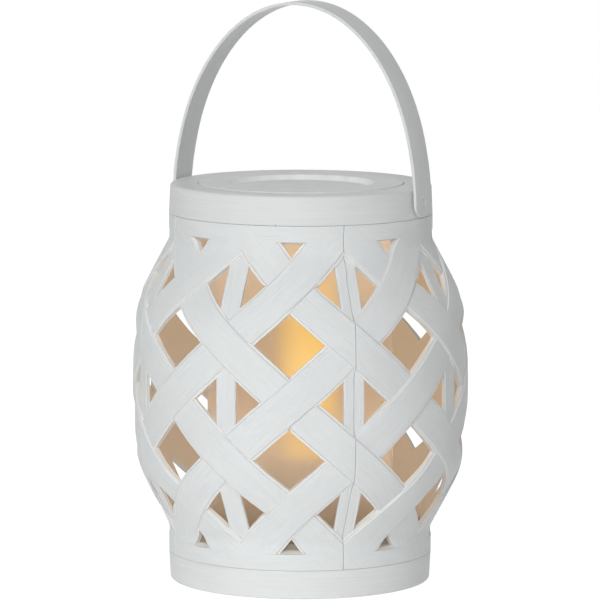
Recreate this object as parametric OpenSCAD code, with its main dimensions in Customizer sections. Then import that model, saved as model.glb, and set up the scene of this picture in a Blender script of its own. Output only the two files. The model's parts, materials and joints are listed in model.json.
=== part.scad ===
// Battery lantern with a flame-effect lamp: a barrel-shaped basket of four woven-look
// lattice panels between a base tray and a top collar, a frosted tube inside it, and a
// flat strap handle on two pivot studs. Millimetres, +Z up. The origin is the centre of
// the resting plane, the studs lie on the X axis, and the front panel faces -Y.
// Angles round the basket are counted from -Y towards +X.

/* [Body] */
// Height of the body, without the handle
body_h = 159.6; // [145:0.1:185]
// Outer radius of the neck, the base ring and the top collar
neck_r = 52.7; // [52:0.1:58]
// Radius of the basket where it is widest
bulge_r = 67.5; // [64:0.5:76]
// Height of the base ring
base_h = 11.5; // [10:0.5:15]
// Height of the top collar
collar_h = 11.6; // [11:0.1:15]
// Straight neck at each end of the basket
neck_len = 10.25; // [8:0.25:14]
// Height of each sloping shoulder
shoulder_len = 26; // [20:1:30]
// How far the crown has fallen back where the shoulder starts
crown_drop = 1.85; // [1:0.05:3]

/* [Lattice] */
// Width of a strip's outer face
strip_w = 13.6; // [11:0.1:16]
// Wall of the basket, from a strip's outer face to its inner face
wall_t = 2.8; // [2.4:0.1:3.2]
// Step between a strip that passes over and one that passes under
weave_step = 1; // [0.6:0.1:1.2]
// Draft of the window walls, per side
draft = 1; // [0.4:0.1:1.4]
// Rounding of a strip's outer edges
edge_break = 0.4; // [0.2:0.1:0.6]
// Width of an upright stave
stave_w = 8.5; // [7:0.1:10]
// Depth of a stave's face below the basket's outer face
stave_inset = 1.4; // [1.2:0.1:1.6]
// Height of the plain band along the top and bottom edges
rim_h = 6.5; // [5:0.1:9]
// Gap between two panels
seam_gap = 0.3; // [0.2:0.05:0.5]

/* [Collar and lid] */
// Rounding of the collar's top edge
collar_edge_r = 1.2; // [0.8:0.1:2.2]
// How much narrower the collar is at its top than at its foot
collar_draft = 0.45; // [0:0.05:1]
// Radius of the lid
lid_r = 41.1; // [40.5:0.1:43]
// Gap round the lid
lid_gap = 0.3; // [0.25:0.05:0.5]
// Thickness of the lid's rim in its seat
lid_t = 2.6; // [2.2:0.1:3]
// How far the lid's rim stands above the collar
lid_proud = 0.4; // [0:0.05:0.6]
// Radius of the flat bottom of the dish in the lid
dish_r = 27; // [22:0.5:30]
// Depth of the dish in the lid
dish_depth = 2.2; // [1.4:0.1:2.6]
// Radial run of the dish's sloping wall
dish_slope = 2.2; // [1.4:0.1:3]
// How far the lid lifts clear
lid_lift = 25; // [10:1:40]

/* [Handle] */
// Width of the strap
handle_w = 14.4; // [12:0.1:16]
// Thickness of the strap
handle_t = 1.5; // [1.3:0.1:2.6]
// Height of the arch above the pivots, to the middle of the strap
arch_h = 77.4; // [74:0.1:100]
// Depth of the pivots below the top of the collar
pivot_drop = 5.6; // [5.4:0.1:6.4]
// How far the strap's round ends reach below the pivots
tip_drop = 5.2; // [4.5:0.1:6]
// Gap between the strap and the collar
handle_gap = 0.3; // [0.25:0.05:0.6]
// Radius of a stud's flush head
stud_head_r = 1.5; // [1.4:0.05:1.8]
// Radius of a stud's shank
stud_r = 1.2; // [1:0.05:1.3]

/* [Tube and lamp] */
// Outer radius of the frosted tube
tube_r = 37.3; // [36:0.1:38]
// Wall of the frosted tube
tube_t = 1.6; // [1.2:0.1:2.2]
// Outer radius of the lamp's frosted cover
cover_r = 14; // [13:0.5:17]
// Height of the lamp's frosted cover
cover_h = 82; // [70:1:90]
// Height of the holder below the cover
holder_h = 28; // [24:1:34]
// Radius of the core that the lamp's light sheet is wrapped round
core_r = 8; // [7:0.1:9]
// Rows of light chips up the sheet
chip_rows = 8; // [4:1:12]
// Columns of light chips round the sheet
chip_cols = 6; // [4:1:10]

/* [Battery bay] */
// Diameter of a cell
cell_d = 14.2; // [13.5:0.1:14.5]
// Length of a cell over its button
cell_l = 50.4; // [49:0.1:51]
// Thickness of the floor of the base tray
floor_t = 2; // [1.6:0.1:2.4]
// Height of the floor above the resting ring
floor_z = 1; // [0.8:0.1:1.4]
// Length of a compressed contact spring
spring_l = 5.6; // [4.5:0.1:6.5]
// Wire diameter of the contact springs
spring_wire = 0.7; // [0.5:0.05:0.8]
// Gap round the battery door
door_gap = 0.35; // [0.3:0.05:0.5]

/* [Hidden] */
$fn = 96;
eps = 0.01;
fit = 0.25;            // clearance between moulded pieces that locate each other
slide_gap = 0.3;       // clearance beside a piece that moves
run_gap = 0.05;        // radial clearance of the handle on its studs
touch = 0.1;           // gap under a piece that only rests on another
white = [0.88, 0.89, 0.89];
frost = [0.93, 0.8, 0.64];

// Basket
strips_around = 8;                          // strips each way
half_rows = 6;                              // crossings up the basket, in half steps
half_turn = 180 / strips_around;            // angle of half a step round the basket
low_z = base_h;
high_z = body_h - collar_h;
lattice_h = high_z - low_z;
mid_z = (low_z + high_z) / 2;
half_pitch = lattice_h / half_rows;
neck_half = lattice_h / 2 - neck_len;
crown_half = neck_half - shoulder_len;
crown_soft = 2.8;                           // blend of crown into shoulder
neck_soft = 0.6;                            // blend of shoulder into neck
joint_gap = 0.15;                           // gap between a panel and the base or collar
strip_steps = 5;                            // sections per half step along a strip
stave_steps = 20;
stave_t = wall_t - stave_inset;
panel_turn = 90;
strip_margin = 10;                          // strips run this far past the seam before the cut
spigot_r = neck_r - wall_t - fit;
spigot_t = 1.8;
lug_w = 9;
lug_h = 2;
lug_d = 1.1;
lug_low_z = low_z + rim_h / 2;
lug_high_z = high_z - rim_h / 2;

// Heights from the base up
floor_top = floor_z + floor_t;
door_z = floor_z + 0.2;
door_t = floor_top - door_z;
cell_r = cell_d / 2;
cell_rest = 0.4;                            // cells lie this far above the door
cell_z = floor_top + cell_rest + cell_r;
bay_top = cell_z + cell_r + slide_gap;
bay_wall = 1.5;
deck_z = bay_top + bay_wall + touch;
deck_t = 2.4;
groove_d = 1.2;
tube_low = deck_z + deck_t - groove_d + touch;
spigot_low_h = deck_z - base_h;
spigot_high_h = rim_h + 0.5;

// Battery bay, seen from above; the switch and the board take the side towards +Y
cell_gap = 0.7;
cell_pitch = cell_d + cell_gap;
bay_y = -8;
bay_half_y = 1.5 * cell_d + cell_gap + 0.6;
plate_t = 0.4;
plate_w = 9;
plate_h = 10;
button_l = 1.4;
button_r = 2.7;
bay_half_x = (cell_l + spring_l + 2 * plate_t + 2 * touch) / 2;
bay_low_y = bay_y - bay_half_y;
bay_high_y = bay_y + bay_half_y;
door_ear = 9;                               // door beyond the bay, for its screw
door_high_y = bay_high_y + door_ear;
tab_x = 15;
tab_w = 8;
tab_l = 2.4;
tab_t = 1.2;
tab_root = 2.2;
tab_room = 3.2;                             // height of the notch that the tabs swing through
tab_swing_r = floor_top + slide_gap + tab_t - door_z + 0.3; // rounds the tabs about the door's pivot
screw_r = 1.25;
screw_head_r = 2.6;
screw_head_h = 1.2;
screw_l = 4.2;
screw_play = 0.4;
ear_boss_r = 3;
ear_boss_h = 1;
screw_y = bay_high_y + bay_wall + slide_gap + ear_boss_r;
screw_post_r = 3.4;
screw_post_h = 6.5;

// Solder tags of the end contacts, and the springs
tag_y = bay_y + cell_pitch;
tag_z = cell_z;
tag_w = 2.4;
tag_t = 0.4;
tag_l = 2.6;
spring_turns = 3.5;
spring_steps = 34;
spring_wide = 4.6;
spring_narrow = 2.9;

// Deck screws, board and switch
deck_screw_at = [0, 120, 240];
deck_boss_r = 3.2;
pilot_r = 1.15;
small_head_r = 2.2;
small_head_h = 1.3;
deck_screw_room = 2.5;                      // between the tube and the deck screws' heads
deck_screws_r = tube_r + deck_screw_room + small_head_r;
small_screw_l = 7;
screw_end_gap = 1;                          // room under a small screw's end
screw_slot = [2.6, 0.6, 1.4];
board_w = 36;
board_d = 16;
board_t = 1.2;
board_rise = 6.8;
board_z = floor_top + board_rise;
board_y = 32;
post_x = 14.5;
post_r = 2.4;
knob_travel = 2;
knob_w = 4;
knob_d = 2.8;
knob_plate_w = 10;
knob_plate_d = 5.6;
knob_plate_t = 1.6;
knob_stem_w = 3;
knob_stem_d = 2;
knob_stem_h = 3;
switch_w = 12;
switch_d = 7;
switch_z = floor_top + slide_gap + knob_plate_t + slide_gap;
wire_r = 0.65;
wire_sides = 6;
wire_hole_r = 3.4;
wire_hole_y = 19;
lead_bend = 3;                              // size of the bends in the leads

// Lamp
holder_r = 12;
holder_rim_h = 6;                           // rim under the lamp's cover
cover_t = 1.2;
cover_low = deck_z + deck_t + holder_h;
core_top_gap = 8;
core_h = cover_h - core_top_gap;
sheet_t = 0.5;
sheet_gap = 0.1;
chip_w = 2.4;
chip_t = 0.7;
sheet_margin = 4;

// Collar, lid and handle
tube_ring_t = 1.65;
tube_ring_h = 11;
ledge_z = body_h - lid_t - touch;
ledge_t = 2.6;
lid_bore_r = lid_r + lid_gap;
tube_top = ledge_z - 0.3;
dish_t = 2;
lid_top = body_h + lid_proud;
dish_low = lid_top - dish_depth - dish_t;
pivot_z = body_h - pivot_drop;
strap_in = neck_r + handle_gap;
arch_half = strap_in + handle_t / 2;
arch_steps = 72;
stud_head_t = 0.7;
stud_l = 11.6;
stud_boss_l = 7;
stud_boss_r = 2.9;

// ---- Shape of the basket ----

function soft_min(a, b, k) = min(a, b) - pow(max(k - abs(a - b), 0), 2) / (4 * k);
function soft_max(a, b, k) = max(a, b) + pow(max(k - abs(a - b), 0), 2) / (4 * k);
function crown(d) = bulge_r - crown_drop * pow(d / crown_half, 2);
function shoulder(d) =
    neck_r + (bulge_r - crown_drop - neck_r) * (neck_half - d) / shoulder_len;

// Radius of the basket's outer face at height z
function shell_r(z) =
    let (d = abs(z - mid_z))
    soft_max(neck_r, soft_min(crown(d), shoulder(d), crown_soft), neck_soft);
function shell_slope(z) = (shell_r(z + 0.1) - shell_r(z - 0.1)) / 0.2;

// Point at angle a and height z, raised by out from the basket's outer face
function shell_point(a, z, out) =
    let (s = shell_slope(z), n = sqrt(1 + s * s), r = shell_r(z) + out / n)
    [r * sin(a), -r * cos(a), z - out * s / n];

// Outline of a strip across its run: [along its width, out from the basket]
function strip_outline(dip) = [
    [-strip_w / 2 - draft, -wall_t],
    [strip_w / 2 + draft, -wall_t],
    [strip_w / 2, -dip - edge_break],
    [strip_w / 2 - edge_break, -dip],
    [-strip_w / 2 + edge_break, -dip],
    [-strip_w / 2, -dip - edge_break]
];

// Strips that lean right pass over at mid height, those that lean left pass under
function weave_dip(lean, z) =
    weave_step * (1 - lean * cos(180 * (z - mid_z) / half_pitch)) / 2;

// One section of a strip that leans by lean and crosses mid height at angle a0
function strip_ring(lean, a0, z) =
    let (
        s = shell_slope(z),
        r = shell_r(z),
        around = lean * r * half_turn * PI / 180 / half_pitch,
        up = sqrt(1 + s * s),
        run = sqrt(around * around + up * up),
        a = a0 + lean * half_turn * (z - mid_z) / half_pitch
    )
    [for (p = strip_outline(weave_dip(lean, z)))
        shell_point(a + p[0] * up / run / r * 180 / PI, z - p[0] * around / run / up, p[1])];

// Closed skin over a row of rings, each running anticlockwise as seen from the far end
module skin(rings) {
    m = len(rings[0]);
    n = len(rings);
    sides = [for (i = [0 : n - 2], k = [0 : m - 1])
        [i * m + k, i * m + (k + 1) % m, (i + 1) * m + (k + 1) % m, (i + 1) * m + k]];
    near_cap = [for (k = [m - 1 : -1 : 0]) k];
    far_cap = [for (k = [0 : m - 1]) (n - 1) * m + k];
    polyhedron([for (ring = rings, p = ring) p], concat([near_cap, far_cap], sides), 6);
}

// Round wire along a row of points; flat is a direction the wire never runs in
module wire(points, r, flat) {
    n = len(points);
    rings = [for (i = [0 : n - 1])
        let (
            run = points[min(i + 1, n - 1)] - points[max(i - 1, 0)],
            u = cross(run, flat) / norm(cross(run, flat)),
            v = cross(u, run) / norm(run)
        )
        [for (k = [0 : wire_sides - 1])
            points[i] + r * (u * cos(360 * k / wire_sides) + v * sin(360 * k / wire_sides))]];
    skin(rings);
}

// Smooth row of points through a few chosen ones
function bend_point(p, i, t) =
    let (
        a = p[max(i - 1, 0)], b = p[i], c = p[i + 1], d = p[min(i + 2, len(p) - 1)]
    )
    ((2 * b) + (c - a) * t + (2 * a - 5 * b + 4 * c - d) * t * t
        + (3 * b - 3 * c + d - a) * t * t * t) / 2;
function bend(p, steps) = concat(
    [for (i = [0 : len(p) - 2], k = [0 : steps - 1]) bend_point(p, i, k / steps)],
    [p[len(p) - 1]]
);

// ---- Lattice panels ----

module strips(lean) {
    reach = panel_turn / 2 + strip_margin;
    for (k = [-3 : 2]) {
        a0 = (2 * k + 1) * half_turn;
        mid = mid_z - lean * a0 / half_turn * half_pitch;
        z0 = max(low_z - half_pitch / 2, mid - reach / half_turn * half_pitch);
        z1 = min(high_z + half_pitch / 2, mid + reach / half_turn * half_pitch);
        n = ceil((z1 - z0) / half_pitch * strip_steps);
        skin([for (i = [0 : n]) strip_ring(lean, a0, z0 + (z1 - z0) * i / n)]);
    }
}

module stave_slice(z) {
    r = shell_r(z) - wall_t;
    translate([-stave_w / 2, -r - stave_t, z]) cube([stave_w, stave_t, eps]);
}

module stave() {
    step = lattice_h / stave_steps;
    for (i = [0 : stave_steps - 1])
        hull() {
            stave_slice(low_z + i * step);
            stave_slice(low_z + (i + 1) * step);
        }
}

module rim(z, up) {
    rotate([0, 0, -90 - panel_turn / 2])
        rotate_extrude(angle = panel_turn)
            polygon([
                [neck_r, z], [neck_r, z + up * rim_h],
                [neck_r - wall_t, z + up * (rim_h + draft)], [neck_r - wall_t, z]
            ]);
}

// Small lug at the middle of a panel's edge; it snaps into a slot in the spigot
module lug(z, grow) {
    translate([0, -spigot_r + lug_d / 2 - fit, z])
        cube([lug_w + 2 * grow, lug_d + 2 * fit + 2 * grow, lug_h + 2 * grow], center = true);
}

module panel_wedge() {
    rotate([0, 0, 45 + 180])
        translate([seam_gap / 2, seam_gap / 2, low_z + joint_gap])
            cube([2 * bulge_r, 2 * bulge_r, lattice_h - 2 * joint_gap]);
}

module lattice_panel(k) {
    color(white)
        rotate([0, 0, k * panel_turn]) {
            difference() {
                intersection() {
                    union() {
                        strips(1);
                        strips(-1);
                        stave();
                        for (side = [-1, 1])
                            rotate([0, 0, side * panel_turn / 2]) stave();
                        rim(low_z, 1);
                        rim(high_z, -1);
                    }
                    panel_wedge();
                }
                translate([0, 0, low_z]) cylinder(r = spigot_r + fit, h = spigot_low_h + fit);
                translate([0, 0, high_z - spigot_high_h - fit])
                    cylinder(r = spigot_r + fit, h = spigot_high_h + fit);
            }
            lug(lug_low_z, 0);
            lug(lug_high_z, 0);
        }
}

// ---- Base ----

module at_deck_screws() {
    for (a = deck_screw_at)
        rotate([0, 0, a]) translate([0, -deck_screws_r, 0]) children();
}

module base_section() {
    edge_r = 1.2;
    foot_w = 6.8;
    taper = 0.5;
    ring_in = spigot_r - spigot_t;
    polygon([
        [0, floor_z], [neck_r - edge_r - foot_w, floor_z], [neck_r - edge_r - foot_w, 0],
        [neck_r - taper - edge_r, 0],
        for (a = [-75 : 15 : 0])
            [neck_r - taper - edge_r + edge_r * cos(a), edge_r + edge_r * sin(a)],
        [neck_r, base_h], [spigot_r, base_h], [spigot_r, deck_z],
        [ring_in, deck_z], [ring_in, floor_top], [0, floor_top]
    ]);
}

module base_tray() {
    color(white)
        difference() {
            union() {
                rotate_extrude() base_section();
                at_deck_screws()
                    translate([0, 0, floor_top - eps])
                        cylinder(r = deck_boss_r, h = deck_z - floor_top + eps);
                for (side = [-1, 1])
                    translate([side * post_x, board_y, floor_top - eps])
                        cylinder(r = post_r, h = board_z - floor_top + eps);
            }
            translate([-bay_half_x, bay_low_y, 0])
                cube([2 * bay_half_x, door_high_y - bay_low_y, floor_top + 1]);
            translate([-knob_w / 2 - knob_travel - slide_gap, board_y - knob_d / 2 - slide_gap, 0])
                cube([knob_w + 2 * knob_travel + 2 * slide_gap, knob_d + 2 * slide_gap, floor_top + 1]);
            at_deck_screws()
                translate([0, 0, deck_z - small_screw_l]) cylinder(r = pilot_r, h = small_screw_l + 1);
            for (side = [-1, 1])
                translate([side * post_x, board_y, board_z - small_screw_l + board_t])
                    cylinder(r = pilot_r, h = small_screw_l);
            for (k = [0 : 3]) rotate([0, 0, k * panel_turn]) lug(lug_low_z, fit);
        }
}

module battery_box() {
    outer = [2 * (bay_half_x + bay_wall), 2 * (bay_half_y + bay_wall), bay_top + bay_wall - floor_top];
    color([0.82, 0.83, 0.83])
        difference() {
            union() {
                translate([-outer[0] / 2, bay_low_y - bay_wall, floor_top]) cube(outer);
                translate([0, screw_y, floor_top + ear_boss_h])
                    cylinder(r = screw_post_r, h = screw_post_h);
            }
            translate([-bay_half_x, bay_low_y, 0])
                cube([2 * bay_half_x, 2 * bay_half_y, bay_top]);
            for (side = [-1, 1])
                translate([side * tab_x - tab_w / 2 - slide_gap, bay_low_y - bay_wall - 1, 0])
                    cube([tab_w + 2 * slide_gap, bay_wall + 2, floor_top + tab_room]);
            translate([0, screw_y, 0])
                cylinder(r = screw_r + screw_play, h = door_z + screw_head_h + screw_l + 3);
            for (side = [-1, 1])
                translate([side * (bay_half_x + bay_wall / 2), tag_y, tag_z])
                    cube([bay_wall + 1, tag_w + 2 * fit, tag_t + 2 * fit], center = true);
        }
}

module battery_door() {
    color(white)
        difference() {
            union() {
                translate([-bay_half_x + door_gap, bay_low_y + door_gap, door_z])
                    cube([2 * (bay_half_x - door_gap), door_high_y - bay_low_y - 2 * door_gap, door_t]);
                for (side = [-1, 1])
                    translate([side * tab_x - tab_w / 2, bay_low_y + door_gap, floor_top - eps])
                        cube([tab_w, tab_root, slide_gap + tab_t + eps]);
                for (side = [-1, 1])
                    intersection() {
                        translate([side * tab_x - tab_w / 2, bay_low_y - tab_l, floor_top + slide_gap])
                            cube([tab_w, tab_l + door_gap + tab_root, tab_t]);
                        translate([side * tab_x, bay_low_y, door_z])
                            rotate([0, 90, 0]) cylinder(r = tab_swing_r, h = 2 * tab_w, center = true);
                    }
                translate([0, screw_y, floor_top - eps])
                    cylinder(r = ear_boss_r, h = ear_boss_h - slide_gap + eps);
            }
            translate([0, screw_y, 0]) cylinder(r = screw_r + run_gap, h = floor_top + 3);
            translate([0, screw_y, 0])
                cylinder(r = screw_head_r + slide_gap, h = door_z + screw_head_h + touch);
        }
}

module door_screw() {
    color("silver")
        difference() {
            union() {
                translate([0, screw_y, door_z + touch]) cylinder(r = screw_head_r, h = screw_head_h - touch);
                translate([0, screw_y, door_z + screw_head_h - eps]) cylinder(r = screw_r, h = screw_l);
            }
            for (a = [0, 90])
                translate([0, screw_y, door_z])
                    rotate([0, 0, a]) cube([3, 0.7, 1.4], center = true);
        }
}

module battery(k) {
    flip = k == 1 ? -1 : 1;
    body_l = cell_l - button_l;
    translate([flip * (bay_half_x - plate_t - touch), bay_y + (k - 1) * cell_pitch, cell_z])
        rotate([0, -90 * flip, 0]) {
            color("goldenrod") cylinder(r = button_r, h = button_l + eps);
            color("dimgray") translate([0, 0, button_l]) cylinder(r = cell_r, h = body_l);
        }
}

module contact_plates() {
    color("silver") {
        for (k = [-1 : 1], side = [-1, 1])
            translate([side * (bay_half_x - plate_t / 2), bay_y + k * cell_pitch, cell_z])
                cube([plate_t, plate_w, plate_h], center = true);
        for (side = [-1, 1])
            translate([side * (bay_half_x + tag_l / 2 - eps), tag_y, tag_z])
                cube([tag_l + 2 * eps, tag_w, tag_t], center = true);
    }
}

module contact_springs() {
    run = spring_l - spring_wire - 2 * touch;
    color("silver")
        for (k = [0 : 2]) {
            flip = k == 1 ? 1 : -1;
            points = [for (i = [0 : spring_steps])
                let (
                    t = i / spring_steps,
                    a = 360 * spring_turns * t,
                    r = spring_wide + (spring_narrow - spring_wide) * t
                )
                [t * run, r * cos(a), r * sin(a)]];
            translate([
                flip * (bay_half_x - plate_t - touch - spring_wire / 2),
                bay_y + (k - 1) * cell_pitch, cell_z
            ])
                rotate([0, 0, flip > 0 ? 180 : 0]) wire(points, spring_wire / 2, [1, 0, 0]);
        }
}

// ---- Board and switch ----

module control_board() {
    color("darkgreen")
        difference() {
            translate([-board_w / 2, board_y - board_d / 2, board_z]) cube([board_w, board_d, board_t]);
            for (side = [-1, 1])
                translate([side * post_x, board_y, board_z - 1]) cylinder(r = pilot_r + fit, h = board_t + 2);
        }
}

module board_chip() {
    color([0.12, 0.12, 0.13]) {
        translate([-4, board_y - 4, board_z + board_t]) cube([8, 5, 1.4]);
        translate([6, board_y + 2, board_z + board_t]) cylinder(r = 2.2, h = 4.5);
        for (i = [0 : 2])
            translate([-9 + 2.6 * i, board_y + 3, board_z + board_t]) cube([1.2, 2.2, 0.6]);
    }
}

module small_screw() {
    difference() {
        union() {
            cylinder(r = small_head_r, h = small_head_h);
            translate([0, 0, screw_end_gap - small_screw_l])
                cylinder(r = pilot_r - run_gap, h = small_screw_l - screw_end_gap + eps);
        }
        for (a = [0, 90])
            rotate([0, 0, a]) translate([0, 0, small_head_h]) cube(screw_slot, center = true);
    }
}

module board_screws() {
    color("silver")
        for (side = [-1, 1])
            translate([side * post_x, board_y, board_z + board_t]) small_screw();
}

module deck_screws() {
    color("silver") at_deck_screws() translate([0, 0, deck_z + deck_t]) small_screw();
}

module switch_body() {
    slot_w = knob_stem_w + 2 * knob_travel + 2 * slide_gap;
    color([0.2, 0.2, 0.22])
        difference() {
            translate([-switch_w / 2, board_y - switch_d / 2, switch_z])
                cube([switch_w, switch_d, board_z - switch_z]);
            translate([-slot_w / 2, board_y - knob_stem_d / 2 - slide_gap, switch_z - 1])
                cube([slot_w, knob_stem_d + 2 * slide_gap, knob_stem_h + 1]);
        }
}

module switch_knob() {
    plate_z = floor_top + slide_gap;
    color([0.25, 0.25, 0.27]) {
        translate([-knob_w / 2, board_y - knob_d / 2, floor_z])
            cube([knob_w, knob_d, plate_z - floor_z + eps]);
        translate([-knob_plate_w / 2, board_y - knob_plate_d / 2, plate_z])
            cube([knob_plate_w, knob_plate_d, knob_plate_t]);
        translate([-knob_stem_w / 2, board_y - knob_stem_d / 2, plate_z + knob_plate_t - eps])
            cube([knob_stem_w, knob_stem_d, knob_stem_h - slide_gap]);
    }
}

// Two leads from the board up through the deck to the lamp's holder
module lead_wires() {
    start_y = board_y - (board_d - lead_bend) / 2;
    start_z = board_z + board_t + touch;
    top_z = deck_z + deck_t;
    color("firebrick")
        for (x = [-1.5, 1.5])
            wire(bend([
                [x, start_y, start_z], [x, start_y, start_z + 0.8 * lead_bend],
                [x, start_y - lead_bend, deck_z - 0.8 * lead_bend],
                [x, wire_hole_y, deck_z + lead_bend / 3],
                [x, wire_hole_y - lead_bend / 2, top_z + 0.8 * lead_bend],
                [x, holder_r + 0.7 * lead_bend, top_z + 1.5 * lead_bend],
                [x, holder_r + touch, top_z + 1.5 * lead_bend]
            ], 3), wire_r, [1, 0, 0]);
}

// Two leads from the end contacts' tags to the board
module battery_leads() {
    tag_end = bay_half_x + tag_l + touch;
    bow = tag_end + lead_bend / 3;
    edge_z = board_z + board_t / 2;
    color("firebrick")
        for (side = [-1, 1])
            wire(bend([
                [side * tag_end, tag_y, tag_z], [side * bow, tag_y + lead_bend / 10, tag_z],
                [side * bow, tag_y + 1.2 * lead_bend, tag_z],
                [side * (bow - 0.2 * lead_bend), bay_high_y + 1.1 * lead_bend, tag_z],
                [side * (board_w / 2 + 2.7 * lead_bend), board_y - 1.7 * lead_bend, edge_z + 0.3],
                [side * (board_w / 2 + lead_bend), board_y - 0.7 * lead_bend, edge_z],
                [side * (board_w / 2 + touch), board_y - lead_bend / 2, edge_z]
            ], 3), wire_r, [0, 0, 1]);
}

// ---- Lamp ----

module lamp_deck() {
    color([0.8, 0.79, 0.75])
        difference() {
            translate([0, 0, deck_z]) cylinder(r = spigot_r, h = deck_t);
            translate([0, 0, deck_z + deck_t - groove_d])
                difference() {
                    cylinder(r = tube_r + fit, h = deck_t);
                    translate([0, 0, -1]) cylinder(r = tube_r - tube_t - fit, h = deck_t + 2);
                }
            translate([0, wire_hole_y, deck_z - 1]) cylinder(r = wire_hole_r, h = deck_t + 2);
            at_deck_screws() translate([0, 0, deck_z - 1]) cylinder(r = pilot_r + fit, h = deck_t + 2);
        }
}

module lamp_holder() {
    color([0.2, 0.2, 0.22])
        translate([0, 0, deck_z + deck_t]) {
            cylinder(r = holder_r, h = holder_h - holder_rim_h);
            translate([0, 0, holder_h - holder_rim_h - eps]) cylinder(r = cover_r, h = holder_rim_h);
        }
}

module led_core() {
    color([0.3, 0.3, 0.32]) translate([0, 0, cover_low]) cylinder(r = core_r, h = core_h);
}

module led_sheet() {
    color("ivory")
        translate([0, 0, cover_low + sheet_margin])
            difference() {
                cylinder(r = core_r + sheet_gap + sheet_t, h = core_h - 2 * sheet_margin);
                translate([0, 0, -1]) cylinder(r = core_r + sheet_gap, h = core_h);
            }
}

module led_chips() {
    rise = (core_h - 2 * sheet_margin) / chip_rows;
    color("gold")
        for (i = [0 : chip_rows - 1], k = [0 : chip_cols - 1])
            rotate([0, 0, 360 * (k + (i % 2) / 2) / chip_cols])
                translate([
                    core_r + sheet_gap + sheet_t + 0.02, -chip_w / 2,
                    cover_low + sheet_margin + (i + 0.5) * rise - chip_w / 2
                ])
                    cube([chip_t, chip_w, chip_w]);
}

module flame_cover() {
    dome = 5;
    inner = cover_r - cover_t;
    color(frost)
        translate([0, 0, cover_low])
            rotate_extrude()
                polygon([
                    [inner, 0], [cover_r, 0], [cover_r, cover_h - dome],
                    for (a = [15 : 15 : 75])
                        [cover_r - dome + dome * cos(a), cover_h - dome + dome * sin(a)],
                    [0, cover_h], [0, cover_h - cover_t], [inner, cover_h - dome - cover_t]
                ]);
}

module diffuser_tube() {
    color(frost)
        translate([0, 0, tube_low])
            difference() {
                cylinder(r = tube_r, h = tube_top - tube_low);
                translate([0, 0, -1]) cylinder(r = tube_r - tube_t, h = tube_top - tube_low + 2);
            }
}

// ---- Top ----

module collar_section() {
    e = collar_edge_r;
    ring_in = tube_r + fit;
    ring_out = ring_in + tube_ring_t;
    skirt_in = spigot_r - spigot_t;
    polygon([
        [neck_r, high_z],
        for (a = [0 : 15 : 90])
            [neck_r - collar_draft - e + e * cos(a), body_h - e + e * sin(a)],
        [lid_bore_r, body_h], [lid_bore_r, ledge_z], [ring_in, ledge_z],
        [ring_in, ledge_z - tube_ring_h], [ring_out, ledge_z - tube_ring_h],
        [ring_out, ledge_z - ledge_t], [skirt_in, ledge_z - ledge_t],
        [skirt_in, high_z - spigot_high_h], [spigot_r, high_z - spigot_high_h], [spigot_r, high_z]
    ]);
}

module top_collar() {
    color(white)
        difference() {
            union() {
                rotate_extrude() collar_section();
                for (side = [-1, 1])
                    translate([side * (spigot_r - stud_boss_l / 2), 0, pivot_z])
                        rotate([0, 90, 0]) cylinder(r = stud_boss_r, h = stud_boss_l, center = true);
            }
            for (side = [-1, 1])
                translate([side * (strap_in + handle_t - stud_l / 2), 0, pivot_z])
                    rotate([0, 90, 0]) cylinder(r = stud_r + run_gap / 2, h = stud_l + 1, center = true);
            for (k = [0 : 3]) rotate([0, 0, k * panel_turn]) lug(lug_high_z, fit);
        }
}

module lid() {
    lip_r = tube_r - tube_t - slide_gap;
    color(white)
        rotate_extrude()
            polygon([
                [0, dish_low], [dish_r + dish_slope, dish_low],
                [lip_r, (dish_low + body_h - lid_t) / 2], [lip_r, body_h - lid_t],
                [lid_r, body_h - lid_t], [lid_r, lid_top], [dish_r + dish_slope, lid_top],
                [dish_r, lid_top - dish_depth], [0, lid_top - dish_depth]
            ]);
}

module stud(side) {
    color(white)
        translate([side * (strap_in + handle_t), 0, pivot_z])
            rotate([0, -90 * side, 0]) {
                cylinder(r = stud_head_r, h = stud_head_t);
                translate([0, 0, stud_head_t - eps]) cylinder(r = stud_r, h = stud_l - stud_head_t);
            }
}

module stud_right() { stud(1); }
module stud_left() { stud(-1); }

// Half ellipse of the strap, grown by out from its middle line
function arch(out) = [for (i = [0 : arch_steps])
    let (a = 180 * i / arch_steps)
    [(arch_half + out) * cos(a), (arch_h + out) * sin(a)]];
function reversed(list) = [for (i = [len(list) - 1 : -1 : 0]) list[i]];

module strap_side() {
    h = handle_t / 2;
    drop = tip_drop + 1;
    polygon(concat(
        [[arch_half + h, -drop]], arch(h), [[-arch_half - h, -drop], [-arch_half + h, -drop]],
        reversed(arch(-h)), [[arch_half - h, -drop]]
    ));
}

module handle() {
    reach = arch_half + handle_t;
    flat = handle_w - 2 * tip_drop;
    color(white)
        translate([0, 0, pivot_z])
            difference() {
                intersection() {
                    rotate([90, 0, 0]) linear_extrude(height = handle_w, center = true) strap_side();
                    union() {
                        translate([-reach, -handle_w, 0]) cube([2 * reach, 2 * handle_w, arch_h + handle_t]);
                        for (end = [-1, 1])
                            translate([0, end * flat / 2, 0])
                                rotate([0, 90, 0]) cylinder(r = tip_drop, h = 2 * reach, center = true);
                        translate([-reach, -flat / 2, -tip_drop]) cube([2 * reach, flat, 2 * tip_drop]);
                    }
                }
                rotate([0, 90, 0]) cylinder(r = stud_r + run_gap, h = 2 * reach, center = true);
                for (side = [-1, 1])
                    translate([side * (strap_in + handle_t - stud_head_t - run_gap), 0, 0])
                        rotate([0, 90 * side, 0]) cylinder(r = stud_head_r + run_gap, h = handle_t);
            }
}

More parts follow.
